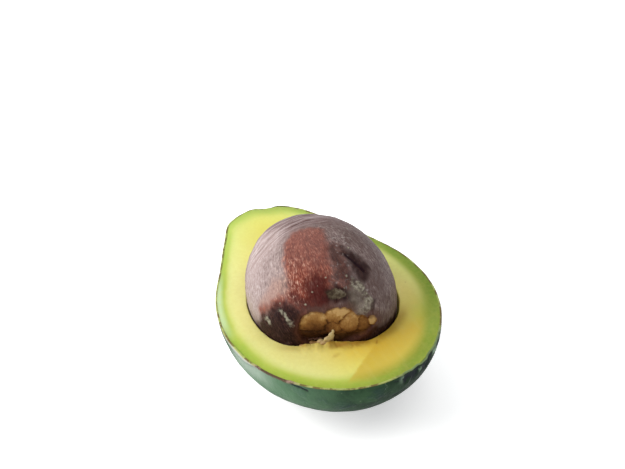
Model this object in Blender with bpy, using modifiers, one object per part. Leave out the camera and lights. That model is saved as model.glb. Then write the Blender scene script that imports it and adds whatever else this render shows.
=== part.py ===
"""Half a green avocado with its seed still in it, lying cut side up.

Metres, +Z up, the stem end towards +Y. The origin is the middle of the small flat spot that the
half rests on. Skin, flesh and seed are separate solids, a hair apart where they meet.
"""

import math

import bmesh
import bpy
from mathutils import Vector, noise

# Size of the half
ACROSS = 0.0395  # mean radius of the cut face across the fruit
ALONG = 0.0593  # mean radius of the cut face along the fruit
RIM_SHIFT = 0.0077  # the cut face's centre lies this far ahead of the rest spot
DEPTH = 0.0328  # cut face to the roundest point of the belly
FLAT_DEPTH = 0.0009  # how much of the belly the rest spot takes off
CUT_HEIGHT = DEPTH - FLAT_DEPTH

# Shape of the cut face, as shares of its radius
EGG = -0.098  # fuller at the blossom end
OVAL = 0.043
NECK = 0.072  # drawn in below the stem end
BLUNT = 0.020
LEAN = 0.007  # one cheek fuller than the other

# The stem end
SHOULDER = 0.0012  # corner beside the stem scar
SHOULDER_ANGLE = math.radians(-20)
STEM_DIMPLE = 0.0020
STEM_ANGLE = math.radians(6)
STEM_SPAN = math.radians(7)

# Skin, and the gaps between the pieces
SKIN = 0.0007
GAP = 0.0003
HOLLOW_GAP = 0.0004
HOLLOW_SLACK = 0.0005  # the hollow is looser on the +X side

# Uneven growth of the belly
SWELLING = 0.012  # share of the radius
SWELLING_SPAN = 0.028

# The cut face as the knife left it
RIM_ROUND = 0.0006
RIM_ROUND_SPAN = 0.0030
KNIFE_WAVE = 0.0003
KNIFE_WAVE_SPAN = 0.016
LIP = Vector((-0.0110, -0.0280))  # flesh pulled up beside the seed's base
LIP_RISE = 0.0014
LIP_SPAN = 0.0045

# The seed, an egg with its full end at the blossom end
SEED_CENTRE = Vector((-0.0009, -0.0005, CUT_HEIGHT + 0.0034))
SEED_ACROSS = 0.0267
SEED_ALONG = 0.0340
SEED_EGG = 0.09
SEED_SWELLING = 0.012  # share of its radius
SEED_SWELLING_SPAN = 0.017

# The seed's flattened base, with its coat torn off in a shallow patch over a cleft
BASE_TURN = math.radians(-23)
BASE_DISTANCE = 0.0288
BASE_SOFTNESS = 0.0012
PATCH_TURN = math.radians(-9)
PATCH_LIFT = math.radians(13)
PATCH_HALF_WIDTH = math.radians(24)
PATCH_HALF_HEIGHT = math.radians(16)
PATCH_EDGE = 0.07  # width of its edge, as a share of its half width
PATCH_DEPTH = 0.0011
CLEFT_DEPTH = 0.0018
CLEFT_SPAN = 0.0028
CLEFT_HEIGHT = 0.010

# Facets
RIM_STEPS = 64
BELLY_STEPS = 14
SEED_STEPS = 56
SEED_RINGS = 34
SMOOTH_ANGLE = math.radians(40)


def clear_scene():
    for thing in list(bpy.data.objects):
        bpy.data.objects.remove(thing)


def make_collection(name):
    collection = bpy.data.collections.new(name)
    bpy.context.scene.collection.children.link(collection)
    return collection


def make_material(name, colour, roughness):
    material = bpy.data.materials.new(name)
    material.use_nodes = True
    shader = material.node_tree.nodes["Principled BSDF"]
    shader.inputs["Base Color"].default_value = (*colour, 1.0)
    shader.inputs["Roughness"].default_value = roughness
    shader.inputs["Metallic"].default_value = 0.0
    return material


def make_object(name, bm, collection, material=None):
    mesh = bpy.data.meshes.new(name)
    bm.to_mesh(mesh)
    bm.free()
    mesh.shade_smooth()
    mesh.set_sharp_from_angle(angle=SMOOTH_ANGLE)
    thing = bpy.data.objects.new(name, mesh)
    collection.objects.link(thing)
    if material:
        mesh.materials.append(material)
    return thing


def hump(distance, span):
    """A smooth hump: 1 in the middle, and almost 0 from two spans away."""
    return math.exp(-((distance / span) ** 2))


def on_rim(angle):
    """A point of the cut's outer edge. The angle is measured from the stem end."""
    radius = 1 + EGG * math.cos(angle) + OVAL * math.cos(2 * angle) + LEAN * math.sin(2 * angle)
    radius += NECK * math.cos(3 * angle) + BLUNT * math.cos(4 * angle)
    return Vector((ACROSS * radius * math.sin(angle), RIM_SHIFT + ALONG * radius * math.cos(angle)))


def rim_point(angle, inset):
    """A point of the cut's outline, moved in from its outer edge by the inset."""
    small = 0.01
    edge = on_rim(angle + small) - on_rim(angle - small)
    outward = Vector((-edge.y, edge.x)).normalized()
    bulge = SHOULDER * hump(angle - SHOULDER_ANGLE, STEM_SPAN)
    bulge -= STEM_DIMPLE * hump(angle - STEM_ANGLE, STEM_SPAN)
    return on_rim(angle) + outward * (bulge - inset)


def belly_point(angle, dip, inset):
    """A point of the rounded side. The dip is 0 at the cut and a quarter turn at the bottom."""
    x, y = rim_point(angle, inset)
    height = CUT_HEIGHT - (DEPTH - inset) * math.sin(dip)
    place = Vector((x * math.cos(dip), y * math.cos(dip), height))
    swell = 1 + SWELLING * noise.noise(place / SWELLING_SPAN) * math.sin(dip)
    return Vector((place.x * swell, place.y * swell, max(height, inset)))


def cut_point(angle, share, inset):
    """A point of the cut face. The share is 1 at the skin and 0 in the middle."""
    edge = rim_point(angle, inset)
    place = edge * share
    height = CUT_HEIGHT - RIM_ROUND * hump(edge.length * (1 - share), RIM_ROUND_SPAN)
    height += KNIFE_WAVE * noise.noise(Vector((place.x, place.y * 0.4, 0)) / KNIFE_WAVE_SPAN)
    height += LIP_RISE * hump((place - LIP).length, LIP_SPAN)
    return Vector((place.x, place.y, height))


def horizontal(turn):
    """A level direction. A turn of 0 faces the blossom end."""
    return Vector((math.sin(turn), -math.cos(turn), 0))


def seed_point(direction):
    """The seed's smooth form along a unit direction, seen from its centre."""
    egg = 1 - SEED_EGG * direction.y
    point = Vector((
        direction.x * egg * SEED_ACROSS,
        direction.y * SEED_ALONG,
        direction.z * egg * SEED_ACROSS,
    ))
    point *= 1 + SEED_SWELLING * noise.noise(point / SEED_SWELLING_SPAN)
    facing = horizontal(BASE_TURN)
    reach = point.dot(facing)
    short = (BASE_DISTANCE - reach) / BASE_SOFTNESS
    flattened = BASE_DISTANCE - BASE_SOFTNESS * math.log1p(math.exp(short)) if short < 20 else reach
    return point + facing * (flattened - reach)


def torn_patch(point):
    """How far inside the torn patch a point of the seed lies, from 0 to 1."""
    turn = math.atan2(point.x, -point.y) - PATCH_TURN
    lift = math.atan2(point.z, point.xy.length) - PATCH_LIFT
    share = math.hypot(turn / PATCH_HALF_WIDTH, lift / PATCH_HALF_HEIGHT)
    return 1 / (1 + math.exp(min(50, (share - 1) / PATCH_EDGE)))


def seed_surface(direction):
    point = seed_point(direction)
    sunk = PATCH_DEPTH * torn_patch(point)
    aside = point.dot(horizontal(BASE_TURN + math.pi / 2))
    if point.dot(horizontal(BASE_TURN)) > 0:
        sunk += CLEFT_DEPTH * hump(aside, CLEFT_SPAN) * hump(point.z + CLEFT_HEIGHT / 2, CLEFT_HEIGHT)
    return SEED_CENTRE + point - direction * sunk


def hollow_surface(direction):
    grow = HOLLOW_GAP + HOLLOW_SLACK * max(0, direction.x) ** 2
    return SEED_CENTRE + seed_point(direction) + direction * grow


def unit_sphere(steps, rings):
    bm = bmesh.new()
    bmesh.ops.create_uvsphere(bm, u_segments=steps, v_segments=rings, radius=1.0)
    return bm


def angle_and_dip(vertex):
    """A vertex's direction round the fruit from the stem end, and its angle below the cut."""
    return math.atan2(vertex.co.x, vertex.co.y), -math.asin(max(-1.0, min(1.0, vertex.co.z)))


def make_skin(collection):
    bm = unit_sphere(RIM_STEPS, 2 * BELLY_STEPS)
    above = [vertex for vertex in bm.verts if vertex.co.z > 0.001]
    bmesh.ops.delete(bm, geom=above, context="VERTS")
    for vertex in bm.verts:
        angle, dip = angle_and_dip(vertex)
        vertex.co = belly_point(angle, dip, 0)
    skin = make_object("skin", bm, collection, make_material("skin", (0.05, 0.16, 0.06), 0.35))
    wall = skin.modifiers.new("wall", "SOLIDIFY")
    wall.thickness = SKIN
    wall.offset = -1
    wall.use_even_offset = True
    return skin


def make_flesh(collection, cutters):
    inset = SKIN + GAP
    bm = unit_sphere(RIM_STEPS, 2 * BELLY_STEPS)
    for vertex in bm.verts:
        angle, dip = angle_and_dip(vertex)
        if dip > -0.001:
            vertex.co = belly_point(angle, dip, inset)
        else:
            vertex.co = cut_point(angle, 1 + dip / (math.pi / 2), inset)
    flesh = make_object("flesh", bm, collection, make_material("flesh", (0.80, 0.74, 0.24), 0.45))
    cut = flesh.modifiers.new("seed hollow", "BOOLEAN")
    cut.operation = "DIFFERENCE"
    cut.object = make_hollow(cutters)
    return flesh


def make_hollow(cutters):
    bm = unit_sphere(SEED_STEPS, SEED_RINGS)
    for vertex in bm.verts:
        vertex.co = hollow_surface(vertex.co.normalized())
    hollow = make_object("hollow", bm, cutters)
    hollow.hide_render = True
    hollow.display_type = "WIRE"
    return hollow


def make_seed(collection):
    bm = unit_sphere(SEED_STEPS, SEED_RINGS)
    for vertex in bm.verts:
        vertex.co = seed_surface(vertex.co.normalized())
    return make_object("seed", bm, collection, make_material("seed", (0.20, 0.07, 0.05), 0.5))


def main():
    clear_scene()
    avocado = make_collection("avocado half")
    cutters = make_collection("cutters")
    make_skin(avocado)
    make_flesh(avocado, cutters)
    make_seed(avocado)


main()
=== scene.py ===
import math

import bpy
import numpy as np
from mathutils import Matrix, Vector, noise


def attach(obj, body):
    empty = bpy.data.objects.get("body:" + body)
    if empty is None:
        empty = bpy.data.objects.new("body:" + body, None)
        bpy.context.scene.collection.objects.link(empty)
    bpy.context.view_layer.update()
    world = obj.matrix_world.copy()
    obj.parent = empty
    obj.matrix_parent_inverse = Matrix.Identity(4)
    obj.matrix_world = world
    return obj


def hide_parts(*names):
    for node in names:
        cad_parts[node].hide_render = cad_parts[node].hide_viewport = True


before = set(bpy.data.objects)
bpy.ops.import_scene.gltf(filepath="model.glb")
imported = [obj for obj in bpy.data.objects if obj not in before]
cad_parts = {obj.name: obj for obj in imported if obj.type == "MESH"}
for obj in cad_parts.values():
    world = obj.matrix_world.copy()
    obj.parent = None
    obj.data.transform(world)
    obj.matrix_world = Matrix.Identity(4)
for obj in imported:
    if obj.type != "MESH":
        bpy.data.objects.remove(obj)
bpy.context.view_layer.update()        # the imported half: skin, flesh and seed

millimetre = 0.001

# the fruit's form, the same for the skin and the flesh, in metres and degrees
fruit = {
    "across": 0.0395,  # mean half width of the cut face
    "along": 0.0593,
    "rimShift": 0.0077,  # the cut face's centre, ahead of the rest spot
    "depth": 0.0328,
    "flatDepth": 0.0009,
    "egg": -0.098,
    "oval": 0.043,
    "neck": 0.072,
    "blunt": 0.020,
    "lean": 0.007,
    "shoulder": 0.0012,
    "shoulderAngle": -20,
    "stemDimple": 0.0020,
    "stemAngle": 6,
    "stemSpan": 7,
    "swelling": 0.012,
    "swellingSpan": 0.028,
}
cutHeight = fruit["depth"] - fruit["flatDepth"]


# small tools

def selectOnly(piece):
    for other in list(bpy.context.selected_objects):
        other.select_set(False)
    piece.select_set(True)
    bpy.context.view_layer.objects.active = piece


def applyModifiers(piece):
    selectOnly(piece)
    for modifier in list(piece.modifiers):
        bpy.ops.object.modifier_apply(modifier=modifier.name)


def getPoints(piece):
    flat = np.empty(len(piece.data.vertices) * 3, dtype=np.float32)
    piece.data.vertices.foreach_get("co", flat)
    return flat.reshape(-1, 3).astype(float)


def setPoints(piece, points):
    piece.data.vertices.foreach_set("co", points.astype(np.float32).ravel())
    piece.data.update()


def addMask(piece, name, values):
    attribute = piece.data.attributes.new(name, "FLOAT", "POINT")
    attribute.data.foreach_set("value", values.astype(np.float32))


def bumps(points, span, shift=0.0):  # smooth noise of about -1 to 1, with lumps of that span
    places = (points / span + shift).reshape(-1, 3)
    return np.array([noise.noise(Vector(place)) for place in places]).reshape(points.shape[:-1])


def hump(distance, span):
    return np.exp(-((distance / span) ** 2))


def smoothStep(low, high, value):
    share = np.clip((value - low) / (high - low), 0.0, 1.0)
    return share * share * (3 - 2 * share)


def zoneMask(low, high, soft, value):
    return smoothStep(low - soft, low + soft, value) * (1 - smoothStep(high - soft, high + soft, value))


def pathDistance(x, y, path):  # from a line drawn through several places
    nearest = np.full(np.shape(x), np.inf)
    for start, end in zip(path, path[1:]):
        run = np.array(end, dtype=float) - np.array(start, dtype=float)
        share = np.clip(((x - start[0]) * run[0] + (y - start[1]) * run[1]) / run.dot(run), 0.0, 1.0)
        aside = np.hypot(x - start[0] - share * run[0], y - start[1] - share * run[1])
        nearest = np.minimum(nearest, aside)
    return nearest


def insideDistance(x, y, corners):  # from a closed outline, positive inside it
    inside = np.zeros(np.shape(x), dtype=bool)
    for start, end in zip(corners, corners[1:] + corners[:1]):
        crosses = (start[1] > y) != (end[1] > y)
        rise = end[1] - start[1] or 1e-9
        inside ^= crosses & (x < (end[0] - start[0]) * (y - start[1]) / rise + start[0])
    away = pathDistance(x, y, corners + corners[:1])
    return np.where(inside, away, -away)


# the outline and the rounded side

def onRim(angle):
    radius = 1 + fruit["egg"] * np.cos(angle) + fruit["oval"] * np.cos(2 * angle)
    radius = radius + fruit["lean"] * np.sin(2 * angle)
    radius = radius + fruit["neck"] * np.cos(3 * angle) + fruit["blunt"] * np.cos(4 * angle)
    x = fruit["across"] * radius * np.sin(angle)
    y = fruit["rimShift"] + fruit["along"] * radius * np.cos(angle)
    return np.stack([x, y], axis=-1)


def rimPoints(angle, inset):
    edge = onRim(angle + 0.01) - onRim(angle - 0.01)
    outward = np.stack([-edge[..., 1], edge[..., 0]], axis=-1)
    outward /= np.linalg.norm(outward, axis=-1, keepdims=True)
    span = math.radians(fruit["stemSpan"])
    bulge = fruit["shoulder"] * hump(angle - math.radians(fruit["shoulderAngle"]), span)
    bulge = bulge - fruit["stemDimple"] * hump(angle - math.radians(fruit["stemAngle"]), span)
    return onRim(angle) + outward * (bulge - inset)[..., None]


def bellyPoints(angle, dip, inset):
    rim = rimPoints(angle, inset + 0 * angle)
    height = cutHeight - (fruit["depth"] - inset) * np.sin(dip)
    place = np.stack([rim[..., 0] * np.cos(dip), rim[..., 1] * np.cos(dip), height], axis=-1)
    swell = 1 + fruit["swelling"] * bumps(place, fruit["swellingSpan"]) * np.sin(dip)
    place[..., 0] *= swell
    place[..., 1] *= swell
    place[..., 2] = np.maximum(height, inset)
    return place


# where the peel has drawn back from the cut, at the right of the blossom end
peelEdge = {
    "zone": (141, 168),  # degrees round from the stem end
    "drawnBack": 0.0013,
    "elsewhere": 0.0002,
    "scallop": 0.45,
    "scallopSpan": 4.2,
}


def drawnBack(angle):  # how far the flesh shows below the cut
    return peelEdge["drawnBack"] * zoneMask(*peelEdge["zone"], 7, np.degrees(angle) % 360)


def peelDrop(angle):
    degrees = np.degrees(angle) % 360
    row = np.stack([degrees / peelEdge["scallopSpan"], 0 * degrees, 0 * degrees], axis=-1)
    ragged = bumps(row, 1.0, 0.4) + 0.6 * bumps(row, 0.4, 4.4)
    drop = drawnBack(angle) * (1 + peelEdge["scallop"] * ragged)
    return peelEdge["elsewhere"] * (1 + 0.5 * ragged) + drop


# node helpers

def addNode(tree, kind, inputs=None, **settings):
    node = tree.nodes.new(kind)
    for name, value in settings.items():
        setattr(node, name, value)
    for name, value in (inputs or {}).items():
        if isinstance(value, bpy.types.NodeSocket):
            tree.links.new(value, node.inputs[name])
        else:
            node.inputs[name].default_value = value
    return node


def addMath(tree, operation, first, second=0.0):
    return addNode(tree, "ShaderNodeMath", {0: first, 1: second}, operation=operation).outputs[0]


def addMix(tree, factor, first, second):
    node = addNode(tree, "ShaderNodeMix", {0: factor}, data_type="RGBA")
    for slot, value in ((6, first), (7, second)):
        if isinstance(value, bpy.types.NodeSocket):
            tree.links.new(value, node.inputs[slot])
        else:
            node.inputs[slot].default_value = (*value, 1.0)
    return node.outputs[2]


def addRange(tree, value, low, high, toLow=0.0, toHigh=1.0):
    inputs = {"Value": value, "From Min": low, "From Max": high, "To Min": toLow, "To Max": toHigh}
    return addNode(tree, "ShaderNodeMapRange", inputs, interpolation_type="SMOOTHSTEP").outputs[0]


def addRamp(tree, factor, stops):
    node = addNode(tree, "ShaderNodeValToRGB", {"Fac": factor})
    ramp = node.color_ramp
    while len(ramp.elements) < len(stops):
        ramp.elements.new(1.0)
    for element, (place, colour) in zip(ramp.elements, stops):
        element.position = place
        element.color = (*colour, 1.0)
    return node.outputs[0]


def addAttribute(tree, name):
    return addNode(tree, "ShaderNodeAttribute", attribute_name=name).outputs["Fac"]


def addNoise(tree, vector, scale, detail=4.0, rough=0.55, distortion=0.0):
    inputs = {"Vector": vector, "Scale": scale, "Detail": detail, "Roughness": rough, "Distortion": distortion}
    return addNode(tree, "ShaderNodeTexNoise", inputs).outputs[0]


def newGroup(name, inputs, outputs):
    tree = bpy.data.node_groups.new(name, "ShaderNodeTree")
    for label, kind, value in inputs:
        socket = tree.interface.new_socket(name=label, in_out="INPUT", socket_type=kind)
        if value is not None:
            socket.default_value = value
    for label, kind in outputs:
        tree.interface.new_socket(name=label, in_out="OUTPUT", socket_type=kind)
    return tree, tree.nodes.new("NodeGroupInput").outputs, tree.nodes.new("NodeGroupOutput").inputs


def makeMottleGroup():  # cloudy patches: 1 where the noise passes the high mark, 0 under the low one
    sockets = [
        ("Vector", "NodeSocketVector", None),
        ("Scale", "NodeSocketFloat", 100.0),
        ("Detail", "NodeSocketFloat", 4.0),
        ("Low", "NodeSocketFloat", 0.4),
        ("High", "NodeSocketFloat", 0.6),
    ]
    tree, given, result = newGroup("mottle", sockets, [("Mask", "NodeSocketFloat")])
    clouds = addNoise(tree, given["Vector"], given["Scale"], given["Detail"], 0.6)
    tree.links.new(addRange(tree, clouds, given["Low"], given["High"]), result["Mask"])
    return tree


def makeSpeckGroup():  # small round dots, in a share of the cells of a cell pattern
    sockets = [
        ("Vector", "NodeSocketVector", None),
        ("Scale", "NodeSocketFloat", 400.0),
        ("Size", "NodeSocketFloat", 0.25),
        ("Share", "NodeSocketFloat", 0.3),
    ]
    tree, given, result = newGroup("specks", sockets, [("Mask", "NodeSocketFloat")])
    cells = addNode(tree, "ShaderNodeTexVoronoi", {"Vector": given["Vector"], "Scale": given["Scale"]})
    pick = addNode(tree, "ShaderNodeSeparateColor", {0: cells.outputs["Color"]})
    chosen = addMath(tree, "LESS_THAN", pick.outputs[0], given["Share"])
    size = addMath(tree, "MULTIPLY", given["Size"], addRange(tree, pick.outputs[1], 0.0, 1.0, 0.5, 1.3))
    edge = addMath(tree, "MULTIPLY", size, 0.55)
    dot = addRange(tree, cells.outputs["Distance"], size, edge)
    tree.links.new(addMath(tree, "MULTIPLY", dot, chosen), result["Mask"])
    return tree


def useGroup(tree, group, inputs):
    return addNode(tree, "ShaderNodeGroup", inputs, node_tree=group).outputs[0]


def newMaterial(name, constants):
    material = bpy.data.materials.new(name)
    material.use_nodes = True
    tree = material.node_tree
    shader = tree.nodes["Principled BSDF"]
    for label, value in constants.items():
        shader.inputs[label].default_value = value
    coordinates = addNode(tree, "ShaderNodeTexCoord")
    return material, tree, shader, coordinates.outputs["Object"]


def addBump(tree, shader, height, strength, distance):
    inputs = {"Height": height, "Strength": strength, "Distance": distance}
    tree.links.new(addNode(tree, "ShaderNodeBump", inputs).outputs[0], shader.inputs["Normal"])


mottle = makeMottleGroup()
specks = makeSpeckGroup()


# skin: the peel, with its cut edge, folds and stem scar

skinValues = {
    "segments": 400,
    "rings": 176,
    "thickness": 0.0007,
    "edgeRound": 0.00016,
    "lumps": [(0.009, 0.00016), (0.0035, 0.00008)],  # span and height
    "puckerZone": (140, 172),  # degrees round from the stem end
    "puckerReach": 9.0,  # millimetres below the cut
    "puckers": [(0.0034, 0.00110), (0.0016, 0.00060)],
    # grooves, as degrees round and millimetres below the cut, then width and depth in millimetres
    "grooves": [
        ([(-99, 3.6), (-109, 3.0), (-117, 2.2), (-123, 0.9)], 0.45, 0.45),
        ([(-138, 0.7), (-141, 1.2), (-145, 2.3)], 0.5, 0.45),
        ([(-104, 5.8), (-112, 4.9)], 0.35, 0.20),
        ([(176, 1.9), (169, 2.4), (163, 2.3)], 0.4, 0.30),
        ([(168, 9.5), (176, 10.6)], 0.5, 0.25),
    ],
    "scarAngle": 6,
    "scarRadius": 0.0034,
    "scarDepth": 0.0006,
}


def makeSkin():
    bpy.ops.mesh.primitive_uv_sphere_add(
        segments=skinValues["segments"], ring_count=skinValues["rings"], radius=1.0, location=(0, 0, 0))
    piece = bpy.context.active_object
    piece.name = "avocadoSkin"
    selectOnly(piece)
    bpy.ops.object.mode_set(mode="EDIT")
    bpy.ops.mesh.select_all(action="SELECT")
    bpy.ops.mesh.bisect(plane_co=(0, 0, 0), plane_no=(0, 0, 1), clear_outer=True)  # keeps the bowl
    bpy.ops.object.mode_set(mode="OBJECT")

    unit = getPoints(piece)
    angle = np.arctan2(unit[:, 0], unit[:, 1])
    degrees = np.degrees(angle)
    dip = -np.arcsin(np.clip(unit[:, 2], -1, 0))
    below = fruit["depth"] * dip / millimetre
    start = np.arcsin(peelDrop(angle) / fruit["depth"])
    blend = math.radians(14)
    dip = np.where(dip < blend, start + dip * (blend - start) / blend, dip)  # the drawn-back edge
    points = bellyPoints(angle, dip, 0.0)
    outward = points / np.array([fruit["across"], fruit["along"], fruit["depth"]]) ** 2
    outward[:, 2] = (points[:, 2] - cutHeight) / fruit["depth"] ** 2
    outward /= np.linalg.norm(outward, axis=1, keepdims=True)

    around = degrees * 0.86  # about a millimetre a degree along the rim
    wander = 0.35 * bumps(points, 0.0021)
    # dark gathers painted shade: in the grooves, and in the hollows of the puckers
    dark = np.zeros(len(points))
    height = np.zeros(len(points))
    for path, width, depth in skinValues["grooves"]:
        path = [(turn * 0.86, down) for turn, down in path]
        groove = hump(pathDistance(around + wander, below + wander, path), width)
        height -= depth * millimetre * groove
        dark = np.maximum(dark, groove)
    pucker = zoneMask(*skinValues["puckerZone"], 4, degrees)
    pucker = pucker * (1 - smoothStep(skinValues["puckerReach"] * 0.3, skinValues["puckerReach"], below))
    pucker = pucker * (0.3 + 0.7 * smoothStep(0.2, 2.0, below))
    folds = np.zeros(len(points))
    for span, size in skinValues["puckers"]:
        folds += size * bumps(points * np.array([1.0, 1.0, 0.6]), span, 7.7)
    height += pucker * np.clip(folds, -0.00045, 0.0012)
    dark = np.maximum(dark, pucker * smoothStep(-0.05, -0.30, folds / millimetre))
    # painted highlight on the puckers' crests near the cut
    pale = pucker * smoothStep(0.08, 0.30, folds / millimetre) * (1 - smoothStep(1.5, 5.0, below))

    stemEnd = rimPoints(np.array([math.radians(skinValues["scarAngle"])]), np.zeros(1))[0]
    away = np.linalg.norm(points - np.array([*stemEnd, cutHeight]), axis=1)
    scar = 1 - smoothStep(skinValues["scarRadius"] * 0.8, skinValues["scarRadius"] * 1.1, away)
    height -= scar * skinValues["scarDepth"]
    for span, size in skinValues["lumps"]:
        height += size * (bumps(points, span, span * 900) - 0.6)
    height = np.maximum(height, -0.00058)  # stays outside the flesh
    standing = smoothStep(0.0003, 0.0030, points[:, 2])  # nothing below the rest spot
    points += outward * (height * standing)[:, None]
    setPoints(piece, points)
    addMask(piece, "dark", dark)
    addMask(piece, "pale", pale)
    addMask(piece, "scar", scar)
    addMask(piece, "below", below)
    addMask(piece, "around", degrees)

    wall = piece.modifiers.new("wall", "SOLIDIFY")
    wall.thickness = skinValues["thickness"]
    wall.offset = -1
    wall.use_even_offset = True
    edge = piece.modifiers.new("edge", "BEVEL")
    edge.width = skinValues["edgeRound"]
    edge.segments = 2
    edge.limit_method = "ANGLE"
    edge.angle_limit = math.radians(55)
    applyModifiers(piece)
    bpy.ops.object.shade_smooth()
    return piece


def skinMaterial():
    material, tree, shader, place = newMaterial("waxyPeel", {
        "IOR": 1.45, "Specular IOR Level": 0.04,
    })
    broad = useGroup(tree, mottle, {"Vector": place, "Scale": 60.0, "Detail": 5.0, "Low": 0.38, "High": 0.62})
    blue = useGroup(tree, mottle, {"Vector": place, "Scale": 75.0, "Detail": 5.0, "Low": 0.50, "High": 0.66})
    drawn = addNode(tree, "ShaderNodeMapping", {"Vector": place, "Scale": (1.0, 1.0, 0.35)}).outputs[0]
    fine = useGroup(tree, mottle, {"Vector": drawn, "Scale": 260.0, "Detail": 6.0, "Low": 0.30, "High": 0.70})
    pores = useGroup(tree, specks, {"Vector": place, "Scale": 520.0, "Size": 0.24, "Share": 0.35})
    green = addMix(tree, broad, (0.006, 0.017, 0.010), (0.030, 0.073, 0.031))
    green = addMix(tree, addMath(tree, "MULTIPLY", blue, 0.80), green, (0.012, 0.030, 0.034))
    green = addMix(tree, addMath(tree, "MULTIPLY", fine, 0.30), green, (0.050, 0.100, 0.052))
    side, along, height = addNode(tree, "ShaderNodeSeparateXYZ", {0: place}).outputs
    # painted shade: the peel darker towards its right side
    green = addMix(tree, addRange(tree, side, -0.010, 0.012, 0.0, 0.80), green, (0.008, 0.015, 0.010))
    # painted light: a lighter green over the peel's left front
    left = addMath(tree, "MULTIPLY", addRange(tree, side, -0.008, -0.034), addRange(tree, along, 0.004, -0.022))
    green = addMix(tree, addMath(tree, "MULTIPLY", left, 0.62), green, (0.115, 0.215, 0.125))
    green = addMix(tree, addMath(tree, "MULTIPLY", pores, 0.30), green, (0.14, 0.20, 0.11))
    # painted shade: the peel darker towards the bottom
    green = addMix(tree, addRange(tree, height, 0.024, 0.006, 0.0, 0.80), green, (0.007, 0.013, 0.009))
    # painted shade in the grooves and in the puckers' hollows
    dark = addAttribute(tree, "dark")
    green = addMix(tree, addRange(tree, dark, 0.15, 0.8, 0.0, 0.85), green, (0.011, 0.014, 0.018))
    # painted highlight on the puckers' crests
    green = addMix(tree, addMath(tree, "MULTIPLY", addAttribute(tree, "pale"), 0.85), green, (0.28, 0.38, 0.27))
    scar = addAttribute(tree, "scar")
    green = addMix(tree, addRange(tree, scar, 0.3, 0.7), green, (0.16, 0.09, 0.045))

    # the cut edge and the first millimetres under it: whitish at the left, pinkish brown, then olive
    below = addAttribute(tree, "below")
    around = addAttribute(tree, "around")
    ragged = addMath(tree, "MULTIPLY", addMath(tree, "SUBTRACT", addNoise(tree, place, 480.0), 0.5), 1.6)
    down = addMath(tree, "ADD", below, ragged)
    white = addMath(tree, "MULTIPLY", addRange(tree, around, -96.0, -104.0), addRange(tree, around, -123.0, -118.0))
    white = addMath(tree, "MULTIPLY", white, addRange(tree, down, 1.9, 0.9))
    pink = addMath(tree, "MULTIPLY", addRange(tree, around, -119.0, -124.0), addRange(tree, around, -143.0, -137.0))
    pink = addMath(tree, "MULTIPLY", pink, addRange(tree, down, 1.2, 0.3))
    # painted reflection: a whitish sheen over the peel's left side, under the cut
    paintedSheen = addMath(tree, "MULTIPLY", addRange(tree, around, -100.0, -112.0), addRange(tree, around, -134.0, -121.0))
    paintedSheen = addMath(tree, "MULTIPLY", paintedSheen, addRange(tree, down, 12.0, 3.0))
    green = addMix(tree, addMath(tree, "MULTIPLY", paintedSheen, 0.55), green, (0.36, 0.42, 0.36))
    green = addMix(tree, addMath(tree, "MULTIPLY", white, 0.75), green, (0.40, 0.39, 0.34))
    dry = useGroup(tree, mottle, {"Vector": place, "Scale": 210.0, "Detail": 5.0, "Low": 0.44, "High": 0.56})
    pinkColour = addMix(tree, dry, (0.300, 0.200, 0.150), (0.090, 0.055, 0.035))
    green = addMix(tree, addMath(tree, "MULTIPLY", pink, 0.80), green, pinkColour)
    edgeColour = addMix(tree, dry, (0.34, 0.38, 0.12), (0.16, 0.125, 0.045))
    edgeColour = addMix(tree, pink, edgeColour, pinkColour)
    stemEdge = addMath(tree, "MULTIPLY", addRange(tree, around, -2.0, 4.0), addRange(tree, around, 22.0, 14.0))
    edgeColour = addMix(tree, stemEdge, edgeColour, (0.060, 0.055, 0.012))
    rightEdge = addMath(tree, "MULTIPLY", addRange(tree, around, 132.0, 142.0), addRange(tree, around, 178.0, 168.0))
    edgeColour = addMix(tree, addMath(tree, "MULTIPLY", rightEdge, 0.8), edgeColour, (0.130, 0.190, 0.090))
    colour = addMix(tree, addRange(tree, below, 0.42, 0.18), green, edgeColour)
    tree.links.new(colour, shader.inputs["Base Color"])
    rough = addMath(tree, "ADD", addMath(tree, "MULTIPLY", fine, 0.12), 0.46)
    rough = addMath(tree, "ADD", rough, addMath(tree, "MULTIPLY", scar, 0.35))
    tree.links.new(rough, shader.inputs["Roughness"])
    relief = addMath(tree, "SUBTRACT", fine, addMath(tree, "MULTIPLY", pores, 0.5))
    relief = addMath(tree, "ADD", relief, addMath(tree, "MULTIPLY", blue, 1.5))
    addBump(tree, shader, relief, 0.8, 0.00026)
    return material


# seed: an egg with a flattened base, in a fibrous coat that is torn at the base

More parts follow.
